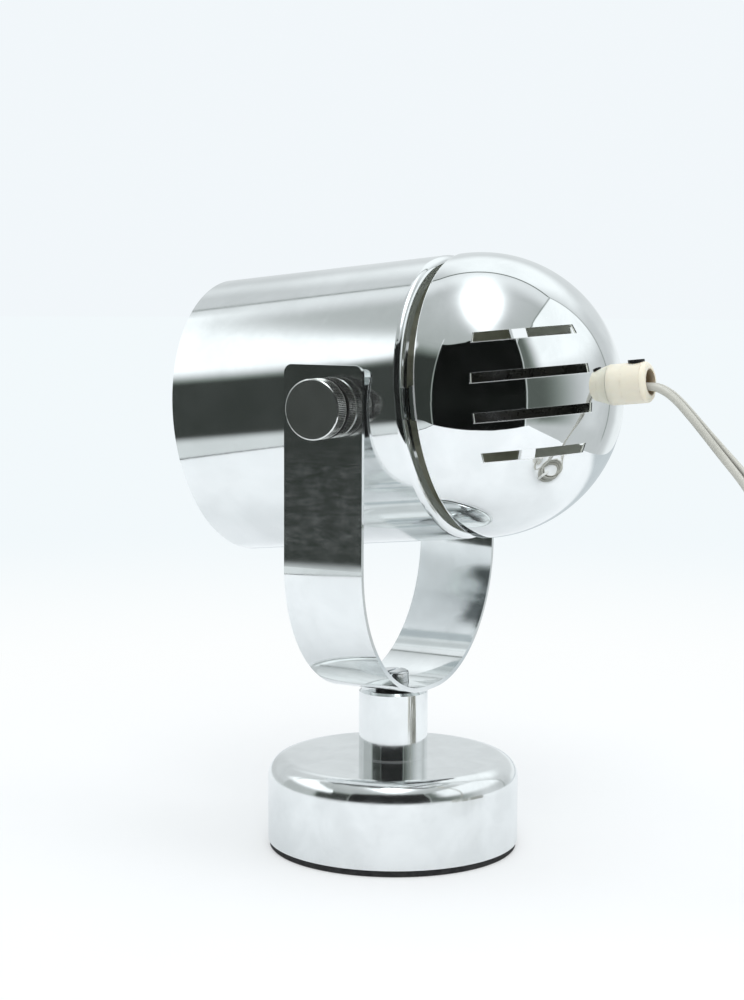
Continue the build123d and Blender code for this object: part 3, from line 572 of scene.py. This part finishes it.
MAT["zinc"] = chrome("zinc_plate", light=(0.66, 0.66, 0.62), dark=(0.50, 0.50, 0.48), r=(0.28, 0.45), smudge=150.0,
                     haze=(0.8, 0.9))
MAT["iron"] = plastic("cast_iron", (0.035, 0.035, 0.037), (0.06, 0.058, 0.055), r=(0.5, 0.7), scale=120, bump=0.5,
                      metal=0.3, grit=500)
MAT["pad"] = plastic("felt", (0.012, 0.012, 0.013), (0.03, 0.03, 0.03), r=(0.85, 0.95), scale=400, bump=0.7, grit=1600)
MAT["fibre"] = plastic("fibre", (0.02, 0.02, 0.02), (0.045, 0.042, 0.04), r=(0.45, 0.65), scale=200, bump=0.3)
MAT["black_screw"] = plastic("blackened_steel", (0.02, 0.02, 0.022), (0.05, 0.05, 0.05), r=(0.3, 0.45), scale=300,
                             bump=0.2, metal=0.6)


def grip_material():
    """Ivory plastic, browned inside the bore with painted shade deepening further in, with grime in rings where it is
    handled.
    """
    m = plastic("ivory_plastic", (0.84, 0.80, 0.68), (0.77, 0.72, 0.59), r=(0.34, 0.5), scale=60, bump=0.08, sub=0.2)
    nt = m.node_tree
    b = [n for n in nt.nodes if n.type == "BSDF_PRINCIPLED"][0]
    col = b.inputs["Base Color"].links[0].from_socket
    along, far, out = round_axis(nt, HEAD_O, HY)
    spots = Num(nt, noise(nt, coords(nt, (1.0, 1.0, 1.0)), 330.0, 4.0, 0.7, 0.8))
    rings = gauss(along - 92.4 * MM, 0.14 * MM) * 0.40 + gauss(along - 85.6 * MM, 0.5 * MM) * 0.18
    grime = smooth(spots, 0.42, 0.70) * rings + smooth(spots, 0.66, 0.80) * 0.22
    col = mixed(nt, grime.s, col, (0.32, 0.22, 0.10))
    # brown grime inside the bore, darkened further in by painted shade
    bore = smooth(far, 4.85 * MM, 4.55 * MM) * smooth(along, 80.0 * MM, 82.0 * MM)
    col = mixed(nt, (bore * smooth(along, 94.2 * MM, 91.5 * MM, 0.55, 0.95)).s, col, (0.30, 0.20, 0.10))
    nt.links.new(col, b.inputs["Base Color"])
    return m


MAT["grip"] = grip_material()
MAT["phenolic"] = plastic("phenolic", (0.012, 0.012, 0.011), (0.026, 0.025, 0.022), r=(0.22, 0.4), scale=120, bump=0.05)
MAT["porcelain"] = plastic("porcelain", (0.86, 0.85, 0.82), (0.78, 0.77, 0.73), r=(0.12, 0.25), scale=80, bump=0.03)
MAT["brass"] = plastic("brass", (0.72, 0.53, 0.24), (0.62, 0.45, 0.20), r=(0.24, 0.32), scale=60, bump=0.02, metal=1.0, grit=300)
MAT["alu"] = plastic("aluminium_cap", (0.80, 0.80, 0.80), (0.68, 0.68, 0.68), r=(0.25, 0.4), scale=160, bump=0.1,
                     metal=1.0)
MAT["solder"] = plastic("solder", (0.45, 0.45, 0.46), (0.36, 0.36, 0.38), r=(0.3, 0.5), scale=500, bump=0.4, metal=1.0)
MAT["white_plastic"] = plastic("white_plastic", (0.80, 0.79, 0.74), (0.75, 0.74, 0.69), r=(0.30, 0.38), scale=30,
                               bump=0.02, sub=0.1, grit=300)
MAT["rocker"] = plastic("rocker_plastic", (0.74, 0.73, 0.69), (0.69, 0.68, 0.63), r=(0.26, 0.34), scale=30, bump=0.02, grit=300)
MAT["tie"] = plastic("tie", (0.78, 0.78, 0.75), (0.70, 0.70, 0.67), r=(0.4, 0.55), scale=150, bump=0.2)


def cord_material():
    """White PVC that has greyed, with faint darker flecks; painted shade in and around the groove between the cores."""
    m, nt, b = new_mat("cord_pvc")
    v = coords(nt)
    n = noise(nt, v, 40.0, 3.0, 0.6)
    f = noise(nt, v, 260.0, 2.0, 0.5)
    at = nt.nodes.new("ShaderNodeAttribute")
    at.attribute_name = "across"
    far = Num(nt, at.outputs["Fac"])
    # painted shade in the groove between the cores and on the cores' inner flanks beside it
    groove = smooth(far, 0.55, 0.12) * 0.6 + smooth(far, 1.15, 0.30) * 0.4
    col = mixed(nt, ranged(nt, n, 0, 1, 0.3, 0.7), (0.53, 0.525, 0.475), (0.47, 0.465, 0.415))
    col = mixed(nt, ranged(nt, f, 0, 0.15, 0.55, 0.8), col, (0.38, 0.37, 0.33))
    col = mixed(nt, (groove * 0.85).s, col, (0.085, 0.080, 0.065))
    nt.links.new(col, b.inputs["Base Color"])
    nt.links.new(ranged(nt, n, 0.25, 0.33, 0.3, 0.7), b.inputs["Roughness"])
    bumped(nt, b, noise(nt, v, 120.0, 1.0), 0.04, 0.0002)
    return m


MAT["cord"] = cord_material()


def glass_material():
    """Frosted crown, silvered sides: told apart by how far forward a point lies along the shade."""
    m, nt, b = new_mat("reflector_glass")
    tc = nt.nodes.new("ShaderNodeTexCoord")
    dot = nt.nodes.new("ShaderNodeVectorMath")
    dot.operation = "DOT_PRODUCT"
    nt.links.new(tc.outputs["Object"], dot.inputs[0])
    dot.inputs[1].default_value = tuple(HY)
    along = added(nt, dot.outputs["Value"], -HEAD_O.dot(HY))          # metres along the shade
    silver = ranged(nt, along, 0.0, 1.0, -0.0375, -0.0360)
    v = coords(nt)
    n = noise(nt, v, 900.0, 3.0)
    nt.links.new(mixed(nt, silver, (0.88, 0.89, 0.88), (0.82, 0.83, 0.84)), b.inputs["Base Color"])
    nt.links.new(ranged(nt, silver, 0.0, 1.0, 0.0, 1.0, False), b.inputs["Metallic"])
    nt.links.new(added(nt, ranged(nt, silver, 0.42, 0.10, 0.0, 1.0, False), ranged(nt, n, 0.0, 0.06)),
                 b.inputs["Roughness"])
    b.inputs["Subsurface Weight"].default_value = 0.3
    b.inputs["Subsurface Radius"].default_value = (0.01, 0.01, 0.01)
    bumped(nt, b, n, 0.15, 0.0001)
    return m


MAT["glass"] = glass_material()

USE = {
    "base_shell": "base_shell", "stem_tube": "stem_tube", "yoke": "yoke", "shade_tube": "shade_tube",
    "rear_cap": "rear_cap", "base_weight": "iron", "base_pad": "pad", "base_washer": "zinc", "base_nut": "zinc",
    "pivot_studs": "zinc", "stud_nuts": "zinc", "nipple": "zinc", "nipple_nut": "zinc", "centre_bolt": "screw_steel",
    "bolt_washer": "screw_steel", "swivel_washer": "fibre", "tilt_washers": "fibre", "cord_grip": "grip",
    "grip_screw": "black_screw", "switch_screws": "black_screw", "lampholder_cap": "phenolic",
    "lampholder_skirt": "phenolic", "lampholder_insert": "porcelain", "screw_shell": "brass", "centre_contact": "brass",
    "terminal_screws": "brass", "plug_pins": "brass", "rocker_pin": "brass", "inner_wires": "cord", "cord_tie": "tie",
    "switch_case_bottom": "white_plastic", "switch_case_top": "white_plastic", "plug_body": "white_plastic",
    "switch_rocker": "rocker", "bulb_cap": "alu", "bulb_tip": "solder", "bulb_glass": "glass",
    "knob_near": "knob", "knob_far": "knob", "cord_stub": "cord", "cord_lead": "cord", "cord_link": "cord",
    "cord_tail": "cord", "cord_coil": "cord",
}
for node, o in N.items():
    mat = MAT[USE[node]]
    if not o.material_slots:
        o.data.materials.append(mat)
    for sl in o.material_slots:
        sl.material = mat
for o in (cord_lead, cord_rest):
    o.data.materials.append(MAT["cord"])

# ---------------------------------------------------------------------------
# knobs: two knurled discs with a groove between them
# ---------------------------------------------------------------------------
KNOB_R, X0, X1, GROOVE, GROOVE_W = 10.2, 52.45, 65.3, 58.0, 1.5
TEETH = 104


def knurled_knob(name, side):
    bm = bmesh.new()
    # distance along the axis, radius, depth of the knurl there
    rows = [(X0, 3.05, 0), (X0, 9.5, 0), (X0, 9.85, 0), (X0 + 0.35, KNOB_R, 0.0), (X0 + 0.5, KNOB_R, 1),
            (GROOVE - 0.45, KNOB_R, 1), (GROOVE - 0.3, KNOB_R, 0), (GROOVE, KNOB_R - 0.3, 0), (GROOVE, 9.3, 0),
            (GROOVE + GROOVE_W, 9.3, 0), (GROOVE + GROOVE_W, KNOB_R - 0.3, 0), (GROOVE + GROOVE_W + 0.3, KNOB_R, 0),
            (GROOVE + GROOVE_W + 0.45, KNOB_R, 1), (X1 - 0.42, KNOB_R, 1), (X1 - 0.32, KNOB_R, 0),
            (X1 - 0.06, KNOB_R - 0.26, 0), (X1, KNOB_R - 0.40, 0), (X1 - 0.02, KNOB_R - 1.0, 0), (X1 - 0.02, 5.0, 0),
            (X1 - 0.02, 1.2, 0)]
    n = TEETH * 4
    rings = []
    for x, r, k in rows:
        ring = []
        for j in range(n):
            a = 2 * math.pi * j / n
            d = (0.0, 0.11, 0.24, 0.11)[j % 4] * k if k else 0.0
            rr = (r - d) * MM
            ring.append(bm.verts.new((side * x * MM, PIVOT.y + rr * math.cos(a), PIVOT.z + rr * math.sin(a))))
        rings.append(ring)
    for a, b in zip(rings, rings[1:]):
        for j in range(n):
            bm.faces.new((a[j], a[(j + 1) % n], b[(j + 1) % n], b[j]))
    bm.faces.new(rings[-1])
    bmesh.ops.recalc_face_normals(bm, faces=bm.faces)
    me = bpy.data.meshes.new(name)
    bm.to_mesh(me)
    bm.free()
    o = bpy.data.objects.new(name, me)
    link(o)
    at = me.attributes.new("tooth", "FLOAT", "POINT")
    at.data.foreach_set("value", [((0.0, 0.5, 1.0, 0.5)[j % 4] if k else 0.4) for x, r, k in rows for j in range(n)])
    me.materials.append(MAT["knob"])
    me.materials.append(MAT["knurl"])
    me.materials.append(MAT["groove"])
    for f in me.polygons:
        f.use_smooth = False
        xs = [abs(me.vertices[i].co.x) / MM for i in f.vertices]
        far = min(math.hypot(me.vertices[i].co.y - PIVOT.y, me.vertices[i].co.z - PIVOT.z) / MM for i in f.vertices)
        if min(xs) > X0 + 0.3 and max(xs) < X1 - 0.30 and far > 9.2:
            f.material_index = 1
        if GROOVE - 0.35 < min(xs) and max(xs) < GROOVE + GROOVE_W + 0.35 and far < KNOB_R - 0.2:
            f.material_index = 2
    return o


for name, side in (("knurled_knob_near", 1), ("knurled_knob_far", -1)):
    k = knurled_knob(name, side)
    body = "knob_near" if side > 0 else "knob_far"
    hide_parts(body)
    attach(k, body)

# ---------------------------------------------------------------------------
# floor, light and what the chrome reflects
# ---------------------------------------------------------------------------


def emission(name, color, strength=1.0, grad=None):
    m = bpy.data.materials.new(name)
    m.use_nodes = True
    nt = m.node_tree
    nt.nodes.clear()
    out = nt.nodes.new("ShaderNodeOutputMaterial")
    e = nt.nodes.new("ShaderNodeEmission")
    e.inputs["Color"].default_value = (*color, 1)
    e.inputs["Strength"].default_value = strength
    nt.links.new(e.outputs[0], out.inputs[0])
    if grad:
        c2, axis, a, b = grad
        tc = nt.nodes.new("ShaderNodeTexCoord")
        sep = nt.nodes.new("ShaderNodeSeparateXYZ")
        nt.links.new(tc.outputs["Object"], sep.inputs[0])
        f = ranged(nt, sep.outputs[axis], 0, 1, a, b)
        nt.links.new(mixed(nt, f, color, c2), e.inputs["Color"])
    return m


def card(name, corners, mat, glossy_only=True):
    me = bpy.data.meshes.new(name)
    me.from_pydata([Vector(c) for c in corners], [], [tuple(range(len(corners)))])
    o = bpy.data.objects.new(name, me)
    link(o)
    me.materials.append(mat)
    if glossy_only:
        o.visible_camera = False
        o.visible_diffuse = False
        o.visible_shadow = False
        o.visible_transmission = False
        o.visible_volume_scatter = False
    return o


def polar(az, dist, z):
    a = math.radians(az)
    return (dist * math.sin(a), -dist * math.cos(a), z)


BACK = (0.885, 0.930, 0.960)       # pale backdrop, linear


def floor_material(name, bands, behind=False):
    """Pale floor that turns into light of its own with distance: bands are (from, to, share at the start, share
    at the end, colour near, colour far). behind dims it at the back, where a sheet ends."""
    near, far_at, f0, f1, c1, c2, c_from, c_to = bands
    m, nt, b = new_mat(name)
    v = coords(nt)
    nt.links.new(mixed(nt, ranged(nt, noise(nt, v, 6.0, 3.0), 0, 1), (0.90, 0.91, 0.92), (0.88, 0.895, 0.905)),
                 b.inputs["Base Color"])
    nt.links.new(ranged(nt, noise(nt, v, 300.0, 3.0), 0.55, 0.7), b.inputs["Roughness"])
    b.inputs["Specular IOR Level"].default_value = 0.15
    out = [n for n in nt.nodes if n.type == "OUTPUT_MATERIAL"][0]
    tc = nt.nodes.new("ShaderNodeTexCoord")
    length = vec(nt, "LENGTH", tc.outputs["Object"])
    em = nt.nodes.new("ShaderNodeEmission")
    nt.links.new(mixed(nt, smooth(length, c_from, c_to).s, c1, c2), em.inputs["Color"])
    mx = nt.nodes.new("ShaderNodeMixShader")
    nt.links.new(smooth(length, near, far_at, f0, f1).s, mx.inputs[0])
    nt.links.new(b.outputs[0], mx.inputs[1])
    nt.links.new(em.outputs[0], mx.inputs[2])
    last = mx
    if behind:
        back_of = vec(nt, "DOT_PRODUCT", tc.outputs["Object"], polar(262, 1.0, 0))
        dim = nt.nodes.new("ShaderNodeEmission")
        dim.inputs["Color"].default_value = (0.60, 0.66, 0.69, 1)
        last = nt.nodes.new("ShaderNodeMixShader")
        nt.links.new(smooth(back_of, 0.25, 0.33).s, last.inputs[0])
        nt.links.new(mx.outputs[0], last.inputs[1])
        nt.links.new(dim.outputs[0], last.inputs[2])
    nt.links.new(last.outputs[0], out.inputs["Surface"])
    return m


floor_mat = floor_material("pale_floor", (0.10, 0.42, 0.42, 1.0, (0.985, 1.0, 1.0), (0.890, 0.945, 0.970), 0.30, 0.95))
sheet_mat = floor_material("pale_sheet", (0.35, 2.4, 0.0, 1.0, BACK, BACK, 0.0, 1.0), behind=True)


def disc(name, radius, z, n=96):
    me = bpy.data.meshes.new(name)
    me.from_pydata([(radius * math.cos(2 * math.pi * k / n), radius * math.sin(2 * math.pi * k / n), z)
                    for k in range(n)], [], [tuple(range(n))])
    o = bpy.data.objects.new(name, me)
    link(o)
    me.materials.append(floor_mat)
    return o


floor = disc("floor", 9.0, -0.0002)
floor.visible_glossy = False


def flat(name, points, z, mat):
    return card(name, [(p[0], p[1], z) for p in points], mat)


# what the chrome sees of the same floor: a white sheet with a grey table left of it
NA, NB, NC = (Vector(polar(a, 1.0, 0)) for a in (30, 115, 205))
corner = Vector(polar(82.5, 0.49, 0))
sheet = [corner, NB * 0.41 + NC * 0.338, NC * 0.338 - NB * 3.0, NA * 0.297 + Vector(polar(300, 3.0, 0))]
flat("floor_reflected", sheet, -0.0001, sheet_mat)
# light where it meets the sheet, dark at its far edge
grey_table = emission("room_table", (0.74, 0.79, 0.80))
nt = grey_table.node_tree
tc = nt.nodes.new("ShaderNodeTexCoord")
outwards = vec(nt, "DOT_PRODUCT", tc.outputs["Object"], polar(57, 1.0, 0))
nt.links.new(mixed(nt, smooth(outwards, 0.455, 0.665).s, (0.74, 0.79, 0.80), (0.040, 0.046, 0.042)),
             [n for n in nt.nodes if n.type == "EMISSION"][0].inputs["Color"])
flat("table_reflected", [corner, Vector(polar(67, 0.70, 0)), Vector(polar(20, 0.86, 0)), Vector(polar(340, 2.4, 0)),
                         NA * 0.297 + Vector(polar(300, 2.0, 0))], -0.0003, grey_table)
seam = emission("room_seam", (0.015, 0.018, 0.016))
crease = Vector(polar(120, 1.0, 0))
flat("seam_reflected", [NA * 0.302 + crease * 0.385, NA * 0.297 + crease * 0.385, NA * 0.288 - crease * 0.25,
                        NA * 0.300 - crease * 0.25], 0.0, seam)


def room(nt, direction):
    """Brightness that the chrome mirrors in each direction, away from the floor. Azimuths are counted from the
    doorway in front; pu and pv are places on the ceiling."""
    sep = nt.nodes.new("ShaderNodeSeparateXYZ")
    nt.links.new(direction, sep.inputs[0])
    x, y, z = (Num(nt, sep.outputs[k]) for k in range(3))
    u = x * 0.8829 + y * 0.4695
    v = y * 0.8829 - x * 0.4695
    rel = v.op("ARCTAN2", u) * 57.29578
    el = z.op("ARCSINE") * 57.29578
    zc = z.op("MAXIMUM", 0.05)
    pu, pv = u / zc, v / zc
    over = smooth(z, 0.0, 0.05)
    # places on the ceiling along the backdrop's upper edge and the right wall's
    w_back = (x * -0.9397 + y * -0.342) / zc
    w_right = (x * -0.3955 + y * 0.9184) / zc

    lamp = gauss(pu - 0.19, 0.35) * gauss(pv, 0.165) * 4.5
    ceiling = lamp + 0.48 + gauss((pu * pu + pv * pv).op("SQRT"), 0.6) * 0.20 + smooth(w_back, 0.10, 0.42) * 0.38
    left = 0.042 + smooth(el, 28, 40) * 0.42
    left = between(smooth(rel, -70, -80), left, left * 0.4 + 0.52)
    side = 0.12 + smooth(rel, 44, 98) * 0.62 - smooth(rel, 98, 122) * 0.12
    glow = 0.15 + smooth(rel, 38, 54) * 1.0
    right_wall = between(smooth(el, -13, -20), between(smooth(el, 12, 27), side, glow), side * 0.0 + 0.62)
    facing = (x * -0.985 + y * -0.174) / (x * x + y * y + 0.0001).op("SQRT")
    backdrop = (0.70 + smooth(facing, 0.86, 0.95) * (0.08 + smooth(el, 10, 3) * 0.18)
                - smooth(facing, 0.88, 0.80) * smooth(el, 14, 6) * 0.06
                + smooth(el, 24, 38) * smooth(facing, 0.70, 0.92) * 0.35)
    door = 0.005 + gauss(el + 2.0, 9.0) * 0.004

    m_right = smooth(rel, 33.7, 34.3) * smooth(rel, 122.3, 121.7)
    m_left = smooth(rel, -41.7, -42.3) * smooth(rel, -118.3, -117.7)
    m_back = smooth(rel, 121.7, 122.3) + smooth(rel, -117.7, -118.3)
    m_door = 1.0 - m_right - m_left - m_back
    low = m_door * door + m_left * left + m_right * right_wall + m_back * backdrop
    top = 46.0 - smooth(rel, -10, -42) * 5.0
    up = ((m_door + m_left) * smooth(el - top, -0.4, 0.4) + m_right * smooth(w_right, 0.697, 0.687) * over
          + m_back * smooth(w_back, 0.548, 0.538) * over)
    value = between(up, low, ceiling)
    # a bright window left of the lamp, its upper edge straight
    window = smooth(y / zc, -0.74, -0.85) * smooth(rel, -62, -66) * smooth(rel, -132, -122) * smooth(el, 20, 31)
    value = between(window, value, value * 0.0 + 1.35)
    # thin dark joints, and the light edges of the doorway
    joint = (m_back * gauss(w_back - 0.543, 0.016) * 0.92 + m_right * gauss(w_right - 0.692, 0.010) * 0.6) * over
    joint = joint + gauss(rel - 122.0, 0.8) * smooth(el, 50, 48) * smooth(el, -20, -16) * 0.5
    value = value * (1.0 - joint)
    frame_line = (gauss(rel - 34.0, 0.55) + gauss(rel + 42.0, 0.45) * 0.7) * smooth(el, 46, 44) * smooth(el, -25, -22)
    value = value + frame_line * 0.55
    t = smooth(value, 0.02, 0.7)
    comb = nt.nodes.new("ShaderNodeCombineColor")
    for k, c in enumerate((value * (t * 0.11 + 0.84), value * 1.0, value * (t * 0.12 + 0.90))):
        nt.links.new(c.s, comb.inputs[k])
    return comb.outputs[0]


world = bpy.data.worlds.new("world")
scene.world = world
world.use_nodes = True
nt = world.node_tree
nt.nodes.clear()
wout = nt.nodes.new("ShaderNodeOutputWorld")
tc = nt.nodes.new("ShaderNodeTexCoord")
lp = nt.nodes.new("ShaderNodeLightPath")
shades = []
for colour, strength in ((BACK, 1.0), ((0.80, 0.84, 0.87), 0.85), (None, 1.0)):
    bg = nt.nodes.new("ShaderNodeBackground")
    bg.inputs["Strength"].default_value = strength
    if colour:
        bg.inputs["Color"].default_value = (*colour, 1)
    else:
        nt.links.new(room(nt, tc.outputs["Generated"]), bg.inputs["Color"])
    shades.append(bg)
for flag, first, second in (("Is Glossy Ray", 1, 2), ("Is Camera Ray", -1, 0)):
    mx = nt.nodes.new("ShaderNodeMixShader")
    nt.links.new(lp.outputs[flag], mx.inputs[0])
    nt.links.new(shades[first].outputs[0], mx.inputs[1])
    nt.links.new(shades[second].outputs[0], mx.inputs[2])
    shades.append(mx)
nt.links.new(shades[-1].outputs[0], wout.inputs[0])
if hasattr(world, "cycles"):
    world.cycles.sampling_method = "NONE"


def area(name, at, to, size, power, color=(1, 1, 1), glossy=True):
    d = bpy.data.lights.new(name, "AREA")
    d.shape = "RECTANGLE"
    d.size, d.size_y = size
    d.energy = power
    d.color = color
    o = bpy.data.objects.new(name, d)
    o.location = at
    o.rotation_mode = "QUATERNION"
    o.rotation_quaternion = (Vector(to) - Vector(at)).to_track_quat("-Z", "Y")
    link(o)
    o.visible_glossy = glossy
    return o


area("softbox_top", (0.15, 0.15, 1.35), (0, 0, 0.1), (1.3, 1.3), 7.0, glossy=False)
area("softbox_front", polar(118, 1.0, 1.25), (0, 0, 0.12), (0.5, 0.5), 5.0, glossy=False)
area("fill_right", polar(190, 1.6, 0.7), (0, 0, 0.12), (1.0, 1.0), 4.0, glossy=False)

scene.view_settings.view_transform = "Standard"
scene.view_settings.look = "None"

bpy.context.view_layer.update()
